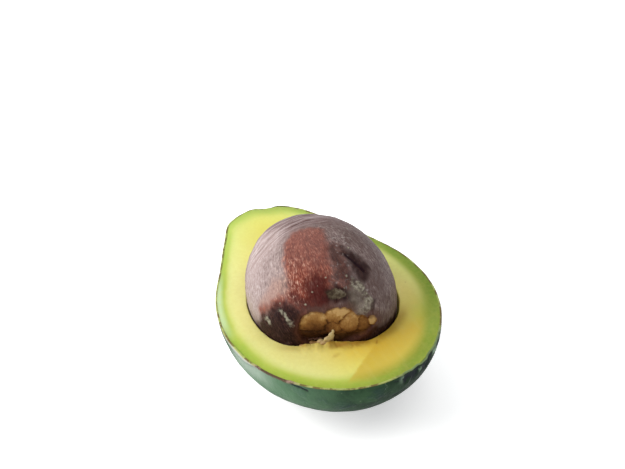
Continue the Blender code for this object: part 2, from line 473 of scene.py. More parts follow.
seedValues = {
    "centre": (-0.0009, -0.0005, cutHeight + 0.0034),
    "across": 0.0267,
    "along": 0.0340,
    "egg": 0.09,
    "swelling": 0.012,
    "swellingSpan": 0.017,
    "baseTurn": -23,
    "baseDistance": 0.0288,
    "baseSoftness": 0.0012,
    "cuts": 127,
    "closerInFront": 0.32,  # draws the mesh's corners to the side that shows
    "front": (-18, 30),
    "lumps": [(0.0085, 0.00030), (0.0034, 0.00014)],  # span and height
    "fibreTilt": 38,  # the fibres run from the base to a point this many degrees behind the top
    "strands": [(0.0013, 0.0034, 0.00014), (0.0007, 0.0016, 0.00010)],  # across, along, height
    "foldHeight": 0.00026,
    # the torn patch, all in degrees: turn from the blossom end, then lift above the seed's middle
    "patch": [
        (-36, 12), (-33, 17.5), (-28.5, 20.5), (-23, 21.3), (-18.5, 19.5), (-14, 22), (-8, 22.5),
        (-2.5, 21.5), (1.5, 17), (6, 13), (11, 10.5), (17, 9), (18, 5), (12, 3), (8, 0), (2, -4),
        (-6, -8), (-12, -10), (-20, -10), (-28, -8), (-34, -3), (-36.5, 4),
    ],
    "shadow": (-25, 3, 10, 6, 0.75),  # over the seed leaves: turn, lift, half width, half height, strength
    "patchDepth": 0.0011,
    "recessDepth": 0.0013,  # deeper again under the seed leaves
    # the seed leaves' lumps in the patch: turn, lift, half width, half height, height of the lump
    "lobes": [
        (-25.5, 13.0, 11.0, 10.0, 0.92), (-8.8, 16.5, 9.0, 9.0, 1.00), (-0.5, 9.0, 8.5, 8.5, 0.72),
        (7.4, 6.6, 6.5, 7.0, 0.42), (13.8, 6.8, 4.2, 2.9, 1.10), (-11.8, 5.4, 6.0, 6.0, 0.66),
        (-10.0, -2.0, 6.5, 5.5, 0.58), (-27.0, 0.0, 11.0, 7.0, 0.40), (-19.0, -6.0, 8.0, 5.5, 0.10),
        (5.0, -2.0, 8.0, 5.0, 0.38),
    ],
    "redZone": [
        (-120, 74), (-84, 66), (-56, 50), (-45, 34), (-47, 22), (-32, 17), (-12, 21), (-9, 31), (-5, 43),
        (4, 61), (60, 82),
    ],
    "redSpill": ([(-50, 26), (-58, 20), (-68, 13)], 5.0),
    "deepRed": [([(-20, 36), (-19, 31), (-16, 25)], 10.0, 0.9), ([(-38, 29), (-30, 25), (-22, 24)], 5.0, 0.8)],
    "rust": ([(8, 60), (0, 46), (-3, 36)], 9.0),
    # this zone and paleEdge: lilac-grey over the seed's left side, partly a pale dry coat, partly painted sheen from
    # the light at the left
    "bloomAndSheen": ([(-116, 42), (-104, 34), (-90, 16)], 26.0),
    "paleEdge": ([(-68, 46), (-65, 28)], 13.0),
    "pinkish": ([(-55, 34), (-58, 26), (-66, 14)], 9.0),
    "darkZones": [
        ([(18, 55), (22, 45), (21, 35)], 6.0, 0.75), ([(-60, -4), (-51, 8), (-43, 11), (-31, -8)], 13.5, 1.1),
        ([(-84, -26), (-68, -8)], 11.0, 0.8),
        ([(4, -6), (17, -7), (34, -9)], 8.0, 1.0), ([(27, 40), (30, 26)], 6.0, 0.35),
        ([(-11, 31), (-3, 29), (4, 27)], 6.0, 0.85), ([(8, 60), (5, 50), (3, 41), (7, 33)], 6.0, 0.60),
        ([(17, 18), (14, 13)], 3.0, 0.7),
    ],
    # pale flecks over the right middle: partly papery bits of coat, partly painted glints of a wet coat
    "flakesAndGlints": ([(36, 64), (14, 50), (4, 38), (12, 24)], 8.0),
    "frost": ([(-52, 44), (-48, 28)], 13.0),
    "slash": ([(17, 53), (20, 45), (22, 37)], 1.3),
    # painted glints: pale streaks of wet-looking highlight over the dark zone, and a small pale spot
    "glintsAndSpot": [([(-49, 19), (-45.5, 17.5), (-42.5, 14), (-40.5, 10.5)], 2.0), ([(-61.5, 8.6), (-59.6, 7.6)], 2.6)],
    "smear": ([(-12, 32), (-5, 30)], 3.0),
    "curds": ([(7.6, 34), (12.7, 27.4), (14.6, 20), (11.7, 15.3), (5.7, 14.5)], 2.6),
    "film": ([(8, 27), (7, 19)], 6.5),
    "specks": [
        ((52, 64), 0.9), ((41, 60), 0.8), ((29, 56), 1.2), ((5.4, 39.4), 1.0), ((-24.3, 34), 0.9),
        ((-30, 26), 0.8), ((-20, 37.5), 0.6), ((-50, 24), 0.7), ((78, 62), 1.1), ((0, 33), 0.7), ((-12, 42), 0.6),
    ],
}
seedCentre = np.array(seedValues["centre"])


def direction(turn, lift):
    turn, lift = math.radians(turn), math.radians(lift)
    return np.array([math.sin(turn) * math.cos(lift), -math.cos(turn) * math.cos(lift), math.sin(lift)])


def seedForm(unit):
    egg = 1 - seedValues["egg"] * unit[:, 1]
    point = unit * np.array([seedValues["across"], seedValues["along"], seedValues["across"]])
    point[:, 0] *= egg
    point[:, 2] *= egg
    point *= (1 + seedValues["swelling"] * bumps(point, seedValues["swellingSpan"]))[:, None]
    facing = direction(seedValues["baseTurn"], 0)
    reach = point @ facing
    soft = seedValues["baseSoftness"]
    short = np.minimum((seedValues["baseDistance"] - reach) / soft, 20)
    flattened = np.where(short < 20, seedValues["baseDistance"] - soft * np.log1p(np.exp(short)), reach)
    return point + facing * (flattened - reach)[:, None]


def awayFrom(unit, corners):  # degrees from a line drawn over the coat
    ends = [direction(*corner) for corner in corners]
    steps = [ends[0]]
    for start, end in zip(ends, ends[1:]):
        count = int(math.degrees(math.acos(min(1, start @ end))) / 0.5) + 2
        steps += [start + (end - start) * share for share in np.linspace(0, 1, count)]
    steps = np.array(steps)
    steps /= np.linalg.norm(steps, axis=1, keepdims=True)
    nearest = np.full(len(unit), -1.0)
    for step in steps:
        nearest = np.maximum(nearest, unit @ step)
    return np.degrees(np.arccos(np.clip(nearest, -1, 1)))


def coatZone(seen, zone, soft, wobble):  # 1 on a line over the coat and 0 past its half width
    path, width = zone[:2]
    return 1 - smoothStep(width - soft, width + soft, awayFrom(seen, path) + wobble)


def alongFibres(point, across, along):  # places that stretch the noise along the fibres
    tilt = math.radians(seedValues["fibreTilt"])
    side = point[:, 0]
    ahead = point[:, 1] * math.cos(tilt) - point[:, 2] * math.sin(tilt)
    upward = point[:, 1] * math.sin(tilt) + point[:, 2] * math.cos(tilt)
    level = np.hypot(side, ahead) + 1e-6
    size = seedValues["across"]
    lift = np.arctan2(upward, level)
    return np.stack([side / level * size / across, ahead / level * size / across, lift * size / along], axis=-1)


def makeSeed():
    bpy.ops.mesh.primitive_cube_add(size=2.0, location=(0, 0, 0))
    piece = bpy.context.active_object
    piece.name = "avocadoSeed"
    selectOnly(piece)
    bpy.ops.object.mode_set(mode="EDIT")
    bpy.ops.mesh.select_all(action="SELECT")
    bpy.ops.mesh.subdivide(number_cuts=seedValues["cuts"])
    bpy.ops.transform.tosphere(value=1.0)  # even faces, with no poles
    bpy.ops.object.mode_set(mode="OBJECT")
    unit = getPoints(piece)
    unit = unit / np.linalg.norm(unit, axis=1, keepdims=True)
    unit = unit + seedValues["closerInFront"] * direction(*seedValues["front"])
    unit /= np.linalg.norm(unit, axis=1, keepdims=True)
    point = seedForm(unit)
    seen = point / np.linalg.norm(point, axis=1, keepdims=True)
    turn = np.degrees(np.arctan2(point[:, 0], -point[:, 1]))
    lift = np.degrees(np.arcsin(seen[:, 2]))
    wobble = bumps(point, 0.0042, 3.1) + 0.6 * bumps(point, 0.0016, 8.2)
    other = bumps(point, 0.0042, 23.1) + 0.6 * bumps(point, 0.0016, 28.2)

    # the torn patch, with the seed leaves broken into lumps that have cracks between them
    inside = insideDistance(turn + 1.6 * wobble, lift + 1.6 * other, seedValues["patch"])
    torn = smoothStep(-0.2, 0.8, inside)
    first = np.full(len(point), 9.0)
    second = np.full(len(point), 9.0)
    rise = np.zeros(len(point))
    level = np.zeros(len(point))
    for lobeTurn, lobeLift, wide, high, lobeRise in seedValues["lobes"]:
        aside = (turn - lobeTurn + 1.7 * wobble) / wide
        upward = (lift - lobeLift + 1.7 * other) / high
        away = np.hypot(aside, upward)
        second = np.where(away < first, first, np.minimum(second, away))
        rise = np.where(away < first, lobeRise, rise)
        level = np.where(away < first, upward, level)
        first = np.minimum(first, away)
    crack = hump(second - first, 0.09) * smoothStep(-1.0, 0.6, wobble)
    lobe = rise * np.clip(1 - 0.22 * first ** 3, 0, 1) * (1 - 0.60 * crack)
    shadowTurn, shadowLift, wide, high, strength = seedValues["shadow"]
    shadow = strength * hump(np.hypot((turn - shadowTurn) / wide, (lift - shadowLift) / high), 1.0)
    lit = lobe * (1 + 0.30 * np.clip(level, -1, 1)) * (1 - shadow)  # painted light and shade: each lump paler at its top, and a painted shadow over the lower seed leaves
    curl = hump(inside + 0.7, 0.8)  # the torn edge stands up a little

    relief = np.zeros(len(point))
    for across, along, size in seedValues["strands"]:
        relief += size * bumps(alongFibres(point, across, along), 1.0, across * 900)
    folded = smoothStep(-0.002, 0.008, point[:, 1] + 0.002 * wobble) * smoothStep(0.008, 0.018, point[:, 2])
    relief *= 1 - 0.6 * folded
    around = np.arctan2(point[:, 0], point[:, 2])
    bands = np.stack([around * 1.7, point[:, 1] / 0.0014, 0 * around], axis=-1)
    folds = bumps(bands + 0.6 * bumps(point, 0.007)[:, None], 1.0, 2.7)
    relief += seedValues["foldHeight"] * folded * folds
    for span, size in seedValues["lumps"]:
        relief += size * bumps(point, span, span * 700)

    path, width = seedValues["slash"]
    slash = hump(awayFrom(seen, path) + 0.5 * wobble, width)
    pale = np.zeros(len(point))
    for path, width in seedValues["glintsAndSpot"]:
        streaks = 0.55 + 0.9 * bumps(point, 0.0009, 5.0)
        pale = np.maximum(pale, hump(awayFrom(seen, path) + 0.7 * wobble, width) * (0.25 + streaks))
    for place, width in seedValues["specks"]:
        pale = np.maximum(pale, hump(awayFrom(seen, [place]) + 0.9 * wobble, 0.8 * width))
    smear = coatZone(seen, seedValues["smear"], 2.5, 3.2 * other)
    film = coatZone(seen, seedValues["film"], 3.0, 2.5 * wobble)
    curds = coatZone(seen, seedValues["curds"], 1.0, 1.6 * wobble)
    curds *= smoothStep(-0.45, 0.25, bumps(point, 0.0010, 15.0) + 0.5 * other)
    dark = np.zeros(len(point))
    for path, width, strength in seedValues["darkZones"]:
        dark = np.maximum(dark, strength * coatZone(seen, (path, width), 0.4 * width + 3.6, 3.8 * wobble))
    deep = np.zeros(len(point))
    for path, width, strength in seedValues["deepRed"]:
        deep = np.maximum(deep, strength * coatZone(seen, (path, width), 0.9 * width, 3.4 * other))
    corners = [tuple(np.degrees(direction(*corner)[:2])) for corner in seedValues["redZone"]]
    ahead = np.degrees(seen[:, :2]) + 1.8 * np.stack([wobble, other], axis=-1)
    red = insideDistance(ahead[:, 0], ahead[:, 1], corners)
    red = smoothStep(-7.0, 7.0, np.where(seen[:, 2] > 0, red, -90)) * (1 - 0.5 * folded)
    red = np.maximum(red, 0.7 * coatZone(seen, seedValues["redSpill"], 4.0, 2.6 * wobble))
    rust = coatZone(seen, seedValues["rust"], 5.0, 2.5 * other)
    bloomAndSheen = coatZone(seen, seedValues["bloomAndSheen"], 15.0, 4.0 * other)
    bloomAndSheen = np.maximum(bloomAndSheen, 0.8 * coatZone(seen, seedValues["paleEdge"], 8.0, 3.0 * other))
    pinkish = coatZone(seen, seedValues["pinkish"], 9.0, 2.0 * other)
    flakesAndGlints = coatZone(seen, seedValues["flakesAndGlints"], 4.0, 2.0 * other)
    frost = coatZone(seen, seedValues["frost"], 8.0, 2.0 * other)

    height = relief * (1 - 0.7 * torn) + 0.00026 * curl - 0.00050 * slash
    under = 1 - smoothStep(-4, 3, lift)
    depth = seedValues["patchDepth"] + seedValues["recessDepth"] * under
    height += torn * (0.00105 * lobe * (1 - 0.4 * under) - depth)
    height += 0.00022 * pale + 0.00015 * smear + 0.00034 * curds
    setPoints(piece, seedCentre + point + seen * height[:, None])
    masks = {
        "inside": inside, "lobe": lit, "slash": slash, "pale": pale, "smear": smear, "curds": curds,
        "dark": dark, "deep": deep, "red": np.maximum(red, 0.5 * rust), "bloomAndSheen": bloomAndSheen, "film": film,
        "folded": folded, "pinkish": pinkish, "flakesAndGlints": flakesAndGlints, "frost": frost,
    }
    for name, mask in masks.items():
        addMask(piece, name, mask)
    selectOnly(piece)
    bpy.ops.object.shade_smooth()
    return piece


def seedMaterial():
    material, tree, shader, place = newMaterial("seedCoat", {
        "IOR": 1.45, "Coat Weight": 0.04, "Coat Roughness": 0.25, "Specular IOR Level": 0.04,
    })
    centred = addNode(tree, "ShaderNodeMapping", {"Vector": place, "Location": tuple(-seedCentre)}).outputs[0]
    tilt = (math.radians(seedValues["fibreTilt"]), 0.0, 0.0)
    tilted = addNode(tree, "ShaderNodeMapping", {"Vector": centred, "Rotation": tilt}).outputs[0]
    side, ahead, upward = addNode(tree, "ShaderNodeSeparateXYZ", {0: tilted}).outputs
    level = addMath(tree, "SQRT", addMath(tree, "ADD", addMath(tree, "POWER", side, 2.0), addMath(tree, "POWER", ahead, 2.0)))
    level = addMath(tree, "MAXIMUM", level, 0.0001)
    rising = addMath(tree, "ARCTAN2", upward, level)
    x, y, z = addNode(tree, "ShaderNodeSeparateXYZ", {0: centred}).outputs

    def strands(across, along, distortion):  # noise drawn out along the fibres
        vector = addNode(tree, "ShaderNodeCombineXYZ", {
            0: addMath(tree, "MULTIPLY", addMath(tree, "DIVIDE", side, level), across),
            1: addMath(tree, "MULTIPLY", addMath(tree, "DIVIDE", ahead, level), across),
            2: addMath(tree, "MULTIPLY", rising, along),
        }).outputs[0]
        return addNoise(tree, vector, 1.0, 6.0, 0.68, distortion)

    def swing(value, size):  # the noise as a change of both signs
        return addMath(tree, "MULTIPLY", addMath(tree, "SUBTRACT", value, 0.5), size)

    def blend(first, second, factor):
        return addMath(tree, "ADD", first, addMath(tree, "MULTIPLY", addMath(tree, "SUBTRACT", second, first), factor))

    fibres = strands(72.0, 17.0, 0.5)
    coarse = strands(14.0, 6.0, 0.8)
    bands = addNode(tree, "ShaderNodeCombineXYZ", {
        0: addMath(tree, "MULTIPLY", addMath(tree, "ARCTAN2", x, z), 1.7), 1: addMath(tree, "MULTIPLY", y, 760.0),
    }).outputs[0]
    folds = addNoise(tree, bands, 1.0, 4.0, 0.6, 0.4)
    folded = addAttribute(tree, "folded")
    cloud = addNoise(tree, centred, 120.0, 6.0, 0.62)
    grain = addNoise(tree, centred, 800.0, 5.0, 0.6)
    weave = addMath(tree, "ADD", blend(fibres, folds, folded), swing(grain, 0.30))
    ragged = addMath(tree, "ADD", swing(cloud, 1.1), swing(weave, 1.3))

    red = addRamp(tree, weave, [
        (0.30, (0.055, 0.008, 0.005)), (0.44, (0.160, 0.030, 0.017)),
        (0.56, (0.310, 0.085, 0.048)), (0.72, (0.600, 0.350, 0.250)),
    ])
    red = addMix(tree, addRange(tree, addMath(tree, "ADD", coarse, swing(cloud, 0.5)), 0.36, 0.56, 0.55, 0.0), red, (0.085, 0.016, 0.011))
    red = addMix(tree, addRange(tree, z, 0.019, 0.0265, 0.0, 0.45), red, (0.200, 0.105, 0.092))
    red = addMix(tree, addRange(tree, z, 0.021, 0.013, 0.0, 0.40), red, (0.130, 0.016, 0.009))
    deep = addMath(tree, "ADD", addAttribute(tree, "deep"), swing(cloud, 0.7))
    red = addMix(tree, addRange(tree, deep, 0.15, 0.9, 0.0, 0.90), red, (0.052, 0.005, 0.004))
    brown = addRamp(tree, weave, [
        (0.30, (0.070, 0.040, 0.036)), (0.45, (0.150, 0.100, 0.092)),
        (0.57, (0.240, 0.180, 0.168)), (0.74, (0.430, 0.360, 0.340)),
    ])
    brown = addMix(tree, addRange(tree, cloud, 0.38, 0.58, 0.55, 0.0), brown, (0.100, 0.060, 0.052))
    overTop = addRamp(tree, folds, [
        (0.34, (0.080, 0.042, 0.040)), (0.50, (0.165, 0.105, 0.100)), (0.66, (0.340, 0.275, 0.275)),
    ])
    brown = addMix(tree, addMath(tree, "MULTIPLY", folded, 0.9), brown, overTop)
    # lilac-grey: partly a pale dry coat, partly painted sheen
    bloomAndSheen = addRamp(tree, weave, [
        (0.30, (0.170, 0.115, 0.108)), (0.48, (0.330, 0.250, 0.238)), (0.70, (0.520, 0.440, 0.425)),
    ])
    coat = addMix(tree, addAttribute(tree, "bloomAndSheen"), brown, bloomAndSheen)
    pinkish = addRange(tree, addMath(tree, "ADD", addAttribute(tree, "pinkish"), swing(weave, 1.8)), 0.2, 1.0, 0.0, 0.5)
    coat = addMix(tree, pinkish, coat, (0.360, 0.190, 0.140))
    redness = addMath(tree, "ADD", addAttribute(tree, "red"), addMath(tree, "MULTIPLY", ragged, 0.75))
    coat = addMix(tree, addRange(tree, redness, 0.16, 0.86, 0.0, 0.95), coat, red)
    frost = addMath(tree, "MULTIPLY", addAttribute(tree, "frost"), addRange(tree, weave, 0.50, 0.66, 0.0, 0.45))
    coat = addMix(tree, frost, coat, (0.580, 0.380, 0.300))
    # pale flecks: partly papery bits of coat, partly painted glints
    flakeGlints = useGroup(tree, mottle, {"Vector": centred, "Scale": 620.0, "Detail": 4.0, "Low": 0.560, "High": 0.66})
    flakeGlints = addMath(tree, "MULTIPLY", flakeGlints, addAttribute(tree, "flakesAndGlints"))
    coat = addMix(tree, addMath(tree, "MULTIPLY", flakeGlints, 0.65), coat, (0.400, 0.345, 0.320))
    darkest = addRamp(tree, weave, [
        (0.35, (0.009, 0.002, 0.003)), (0.54, (0.022, 0.007, 0.006)), (0.68, (0.075, 0.028, 0.022)),
        (0.82, (0.200, 0.150, 0.120)),
    ])
    darkness = addMath(tree, "ADD", addAttribute(tree, "dark"), addMath(tree, "MULTIPLY", ragged, 0.6))
    coat = addMix(tree, addRange(tree, darkness, 0.18, 0.82, 0.0, 0.96), coat, darkest)
    film = addRamp(tree, cloud, [(0.42, (0.060, 0.040, 0.029)), (0.62, (0.250, 0.205, 0.165))])
    coat = addMix(tree, addMath(tree, "MULTIPLY", addAttribute(tree, "film"), 0.75), coat, film)
    smear = addRamp(tree, addMath(tree, "ADD", cloud, swing(grain, 0.4)), [
        (0.40, (0.030, 0.018, 0.011)), (0.52, (0.085, 0.062, 0.038)), (0.66, (0.270, 0.235, 0.165)),
    ])
    smeared = addMath(tree, "ADD", addAttribute(tree, "smear"), addMath(tree, "MULTIPLY", ragged, 0.5))
    coat = addMix(tree, addRange(tree, smeared, 0.2, 0.7, 0.0, 0.9), coat, smear)
    curd = addRamp(tree, grain, [(0.40, (0.130, 0.105, 0.075)), (0.60, (0.400, 0.360, 0.280))])
    coat = addMix(tree, addMath(tree, "MULTIPLY", addAttribute(tree, "curds"), 0.9), coat, curd)
    coat = addMix(tree, addRange(tree, addAttribute(tree, "slash"), 0.3, 0.8, 0.0, 0.9), coat, (0.016, 0.005, 0.008))
    # pale marks: painted glints over the dark zone, and small pale specks of dried coat
    pale = addMath(tree, "ADD", addAttribute(tree, "pale"), swing(grain, 1.2))
    coat = addMix(tree, addRange(tree, pale, 0.15, 1.0, 0.0, 0.7), coat, (0.400, 0.375, 0.280))

    # the seed leaves that show through the tear
    # the lobe mask carries painted light and shade: lumps paler at their tops, darker under the painted shadow
    lobe = addMath(tree, "ADD", addAttribute(tree, "lobe"), swing(grain, 0.30))
    lobe = addMath(tree, "ADD", lobe, swing(cloud, 1.5))
    leaves = addRamp(tree, lobe, [
        (0.10, (0.034, 0.011, 0.005)), (0.40, (0.105, 0.038, 0.012)), (0.64, (0.230, 0.100, 0.028)),
        (0.86, (0.370, 0.190, 0.062)), (1.00, (0.520, 0.320, 0.130)),
    ])
    # painted shade: the seed leaves darker lower down, in the recess under them
    leaves = addMix(tree, addRange(tree, z, 0.0034, -0.0016, 0.0, 0.50), leaves, (0.055, 0.022, 0.010))
    inside = addMath(tree, "ADD", addAttribute(tree, "inside"), swing(grain, 1.6))
    inside = addMath(tree, "ADD", inside, swing(cloud, 3.0))
    colour = addMix(tree, addRange(tree, inside, 0.1, 0.7), coat, leaves)
    rim = addMath(tree, "MULTIPLY", addRange(tree, inside, -6.0, 0.1), addRange(tree, inside, 2.0, 0.7))
    colour = addMix(tree, addMath(tree, "MULTIPLY", rim, 0.55), colour, (0.085, 0.026, 0.013))
    tree.links.new(colour, shader.inputs["Base Color"])
    rough = addMath(tree, "ADD", addMath(tree, "MULTIPLY", cloud, 0.5), 0.22)
    tree.links.new(rough, shader.inputs["Roughness"])
    relief = addMath(tree, "ADD", weave, addMath(tree, "MULTIPLY", coarse, 0.6))
    relief = addMath(tree, "ADD", relief, addMath(tree, "MULTIPLY", cloud, 0.8))
    addBump(tree, shader, relief, 0.8, 0.0005)
    return material


# flesh: the cut face, the hollow and the hidden side, all from one sphere's rings

fleshValues = {
    "segments": 448,
    "denserTurn": -25,  # more segments at the torn lip
    "denserSpan": 26,
    "denser": 2.0,
    "bellyRings": 24,
    "faceRings": 112,
    "edgeRings": 8,
    "hollowRings": 46,
    "inset": 0.00072,  # lies against the peel's inner side
    "rimRound": 0.0003,
    "rimRoundSpan": 0.0011,
    "drawnBackSpan": 0.0022,
    "gap": 0.0003,
    "rightGap": 0.0007,
    "edgeRound": 0.0005,
    # waves of the knife: how x and y are stretched, span and height
    "waves": [((1.0, 0.40), 0.016, 0.00030), ((1.0, 0.08), 0.0019, 0.000012), ((1.0, 1.0), 0.0030, 0.00003)],
    # the torn lip's lumps: turn, rise in millimetres, half width in degrees
    "lips": [(-34, 0.8, 4.0), (-28, 1.4, 5.0), (-20, 1.6, 6.0), (-11, 1.3, 7.0), (-2, 0.5, 6.0)],
    "lipSpan": 0.0019,
    "ridge": [(-0.0131, -0.0519), (0.0023, -0.0390)],  # where two strokes of the knife meet
    "ridgeDrop": 0.0008,
    "leftRidge": [(-0.0363, -0.0116), (-0.0281, -0.0123)],
    # marks in millimetres on the cut: path, half width, strength; the fourth is a painted shadow under the torn lip,
    # the rest are stains
    "stainsAndShadow": [
        ([(-8.5, -30.0), (-4.2, -32.4), (-0.4, -33.4), (3.1, -33.6)], 1.5, 0.95),
        ([(6.6, -35.2), (5.8, -36.5)], 0.35, 1.0), ([(-8.4, -35.5), (-10.1, -35.9)], 0.9, 0.35),
        ([(-17.6, -25.6), (-16.4, -26.0)], 0.8, 0.55), ([(6, -35), (14, -32), (21, -26)], 1.6, 0.30),
        ([(0.0, 68.3), (3.0, 67.2), (6.0, 66.0), (9.0, 66.2)], 0.5, 0.90),
    ],
}


def hollowPoints(turn, below):  # by the turn round the seed's centre and the angle below it
    unit = np.stack([np.cos(below) * np.sin(turn), -np.cos(below) * np.cos(turn), -np.sin(below)], axis=-1)
    unit = unit.reshape(-1, 3)
    grow = fleshValues["gap"] + fleshValues["rightGap"] * np.maximum(0, unit[:, 0]) ** 2
    return (seedCentre + seedForm(unit) + unit * grow[:, None]).reshape(*np.shape(turn), 3)


def pastRidge(x, y):  # how far to the right of the knife's ridge
    start, end = np.array(fleshValues["ridge"])
    run = (end - start) / np.linalg.norm(end - start)
    return (x - start[0]) * run[1] - (y - start[1]) * run[0]


def faceHeight(x, y, fromRim, fromHollow, turn, rounding):
    height = np.full(np.shape(x), cutHeight)
    for number, (stretch, span, size) in enumerate(fleshValues["waves"]):
        places = np.stack([x * stretch[0], y * stretch[1], 0 * x], axis=-1)
        height += size * bumps(places, span, number * 4.0)
    inner = smoothStep(0.0, 0.004, fromRim)
    aside = np.clip(pastRidge(x, y) / 0.010, 0, 1)
    height -= fleshValues["ridgeDrop"] * aside * smoothStep(-0.020, -0.034, y) * inner
    height += 0.00020 * hump(pathDistance(x, y, fleshValues["leftRidge"]), 0.0012) * inner
    height -= rounding * hump(fromRim, fleshValues["rimRoundSpan"] + fleshValues["drawnBackSpan"] * rounding / 0.0016)
    degrees = np.degrees(turn)
    places = np.stack([x, y, 0 * x], axis=-1)
    torn = bumps(places, 0.0030, 9.1) + 0.35 * bumps(places, 0.0012, 2.3)
    lip = np.zeros(np.shape(x))
    for lipTurn, rise, wide in fleshValues["lips"]:
        lip = np.maximum(lip, rise * hump(degrees - lipTurn + 1.5 * torn, wide))
    near = hump(fromHollow, fleshValues["lipSpan"])
    height += millimetre * near * lip * (1 + 0.25 * torn)
    height += 0.00022 * torn * zoneMask(-46, 6, 5, degrees) * hump(fromHollow, 0.0045)
    return height


def makeFlesh():
    parts = fleshValues["bellyRings"], fleshValues["faceRings"], fleshValues["edgeRings"], fleshValues["hollowRings"]
    rings = sum(parts)
    bpy.ops.mesh.primitive_uv_sphere_add(
        segments=fleshValues["segments"], ring_count=rings, radius=1.0, location=(0, 0, 0))
    piece = bpy.context.active_object
    piece.name = "avocadoFlesh"
    selectOnly(piece)
    unit = getPoints(piece)
    segments = fleshValues["segments"]
    ring = np.rint((np.arcsin(np.clip(unit[:, 2], -1, 1)) / math.pi + 0.5) * rings).astype(int)
    slot = np.rint(np.arctan2(unit[:, 0], unit[:, 1]) / (2 * math.pi) * segments).astype(int) % segments

    # segments closer together at the torn lip
    fine = np.linspace(0, 360, 3601)
    spot = (180 - fleshValues["denserTurn"]) % 360
    weight = 1 + fleshValues["denser"] * hump((fine - spot + 180) % 360 - 180, fleshValues["denserSpan"])
    total = np.concatenate([[0], np.cumsum((weight[1:] + weight[:-1]) / 2)])
    angle = np.radians(np.interp(np.arange(segments) / segments * total[-1], total, fine))
    angle = np.where(angle > math.pi, angle - 2 * math.pi, angle)
    turn = np.arctan2(np.sin(angle), -np.cos(angle))  # the same way round, from the blossom end

    rounding = fleshValues["rimRound"] + drawnBack(angle)
    inset = fleshValues["inset"]
    rim = rimPoints(angle, inset + 0 * angle)
    low, high = np.zeros_like(turn), np.full_like(turn, 0.5)
    for _ in range(24):  # closes in on where the hollow's wall meets the cut
        middle = (low + high) / 2
        above = hollowPoints(turn, middle)[:, 2] > cutHeight
        low, high = np.where(above, middle, low), np.where(above, high, middle)
    edgeDip = (low + high) / 2
    meeting = hollowPoints(turn, edgeDip)[:, :2]
    outward = meeting - seedCentre[:2]
    outward /= np.linalg.norm(outward, axis=1, keepdims=True)
    zone = zoneMask(-44, 4, 5, np.degrees(turn))
    circle = np.stack([meeting[:, 0], meeting[:, 1], 0 * turn], axis=-1)
    ragged = bumps(circle, 0.0030, 2.2) + 0.6 * bumps(circle, 0.0011, 6.1)
    edge = meeting + outward * (0.00012 * ragged * (1 + 3.5 * zone))[:, None]

    grid = np.zeros((rings + 1, segments, 3))
    fromRim = np.full((rings + 1, segments), 0.02)
    fromHollow = np.full((rings + 1, segments), 0.02)
    row = 0
    topDip = np.arcsin((rounding + 0.0004) / fruit["depth"])
    for share in np.linspace(0, 1, fleshValues["bellyRings"]):
        grid[row] = bellyPoints(angle, math.pi / 2 + (topDip - math.pi / 2) * share, inset)
        fromRim[row] = 0
        row += 1
    roundSize = fleshValues["edgeRound"]
    inner = edge + outward * roundSize
    across = inner - rim
    width = np.linalg.norm(across, axis=1)
    for even in np.linspace(0, 1, fleshValues["faceRings"]):
        share = 0.62 * even + 0.38 * (1 - math.cos(math.pi * even)) / 2
        flat = rim + across * share
        fromRim[row] = share * width
        fromHollow[row] = (1 - share) * width
        grid[row, :, :2] = flat
        grid[row, :, 2] = faceHeight(flat[:, 0], flat[:, 1], fromRim[row], fromHollow[row], turn, rounding)
        row += 1
    top = grid[row - 1, :, 2]
    for bend in np.linspace(0, math.pi / 2, fleshValues["edgeRings"] + 1)[1:]:
        grid[row, :, :2] = inner - outward * (roundSize * math.sin(bend))
        grid[row, :, 2] = top - roundSize * (1 - math.cos(bend))
        fromHollow[row] = 0
        row += 1
    for share in np.linspace(0, 1, rings + 2 - row)[1:]:
        below = edgeDip + 0.04 + (math.pi / 2 - edgeDip - 0.04) * share
        wall = hollowPoints(turn, below)
        wall[:, :2] += (1 - smoothStep(0.0, 0.15, share)) * (edge - meeting)
        grid[row] = wall
        fromHollow[row] = 0
        row += 1
    setPoints(piece, grid[ring, slot])
    x, y = grid[..., 0] / millimetre, grid[..., 1] / millimetre
    places = grid * np.array([1.0, 1.0, 0.0])
    wobble = bumps(places, 0.0018, 3.0) + 0.5 * bumps(places, 0.0007, 8.0)
    stainAndShadow = np.zeros(x.shape)
    for path, half, strength in fleshValues["stainsAndShadow"]:
        spread = np.maximum(pathDistance(x, y, path) + 0.5 * half * wobble, 0)
        stainAndShadow = np.maximum(stainAndShadow, strength * hump(spread, half))
    addMask(piece, "fromRim", fromRim[ring, slot] / millimetre)
    addMask(piece, "fromHollow", fromHollow[ring, slot] / millimetre)
    addMask(piece, "stainAndShadow", stainAndShadow[ring, slot])
    beyond = smoothStep(-0.0005, 0.0008, pastRidge(grid[..., 0], grid[..., 1]) + 0.0003 * wobble)
    beyond *= smoothStep(-0.026, -0.036, grid[..., 1])
    addMask(piece, "beyondRidge", beyond[ring, slot])
    bpy.ops.object.shade_smooth()
    return piece


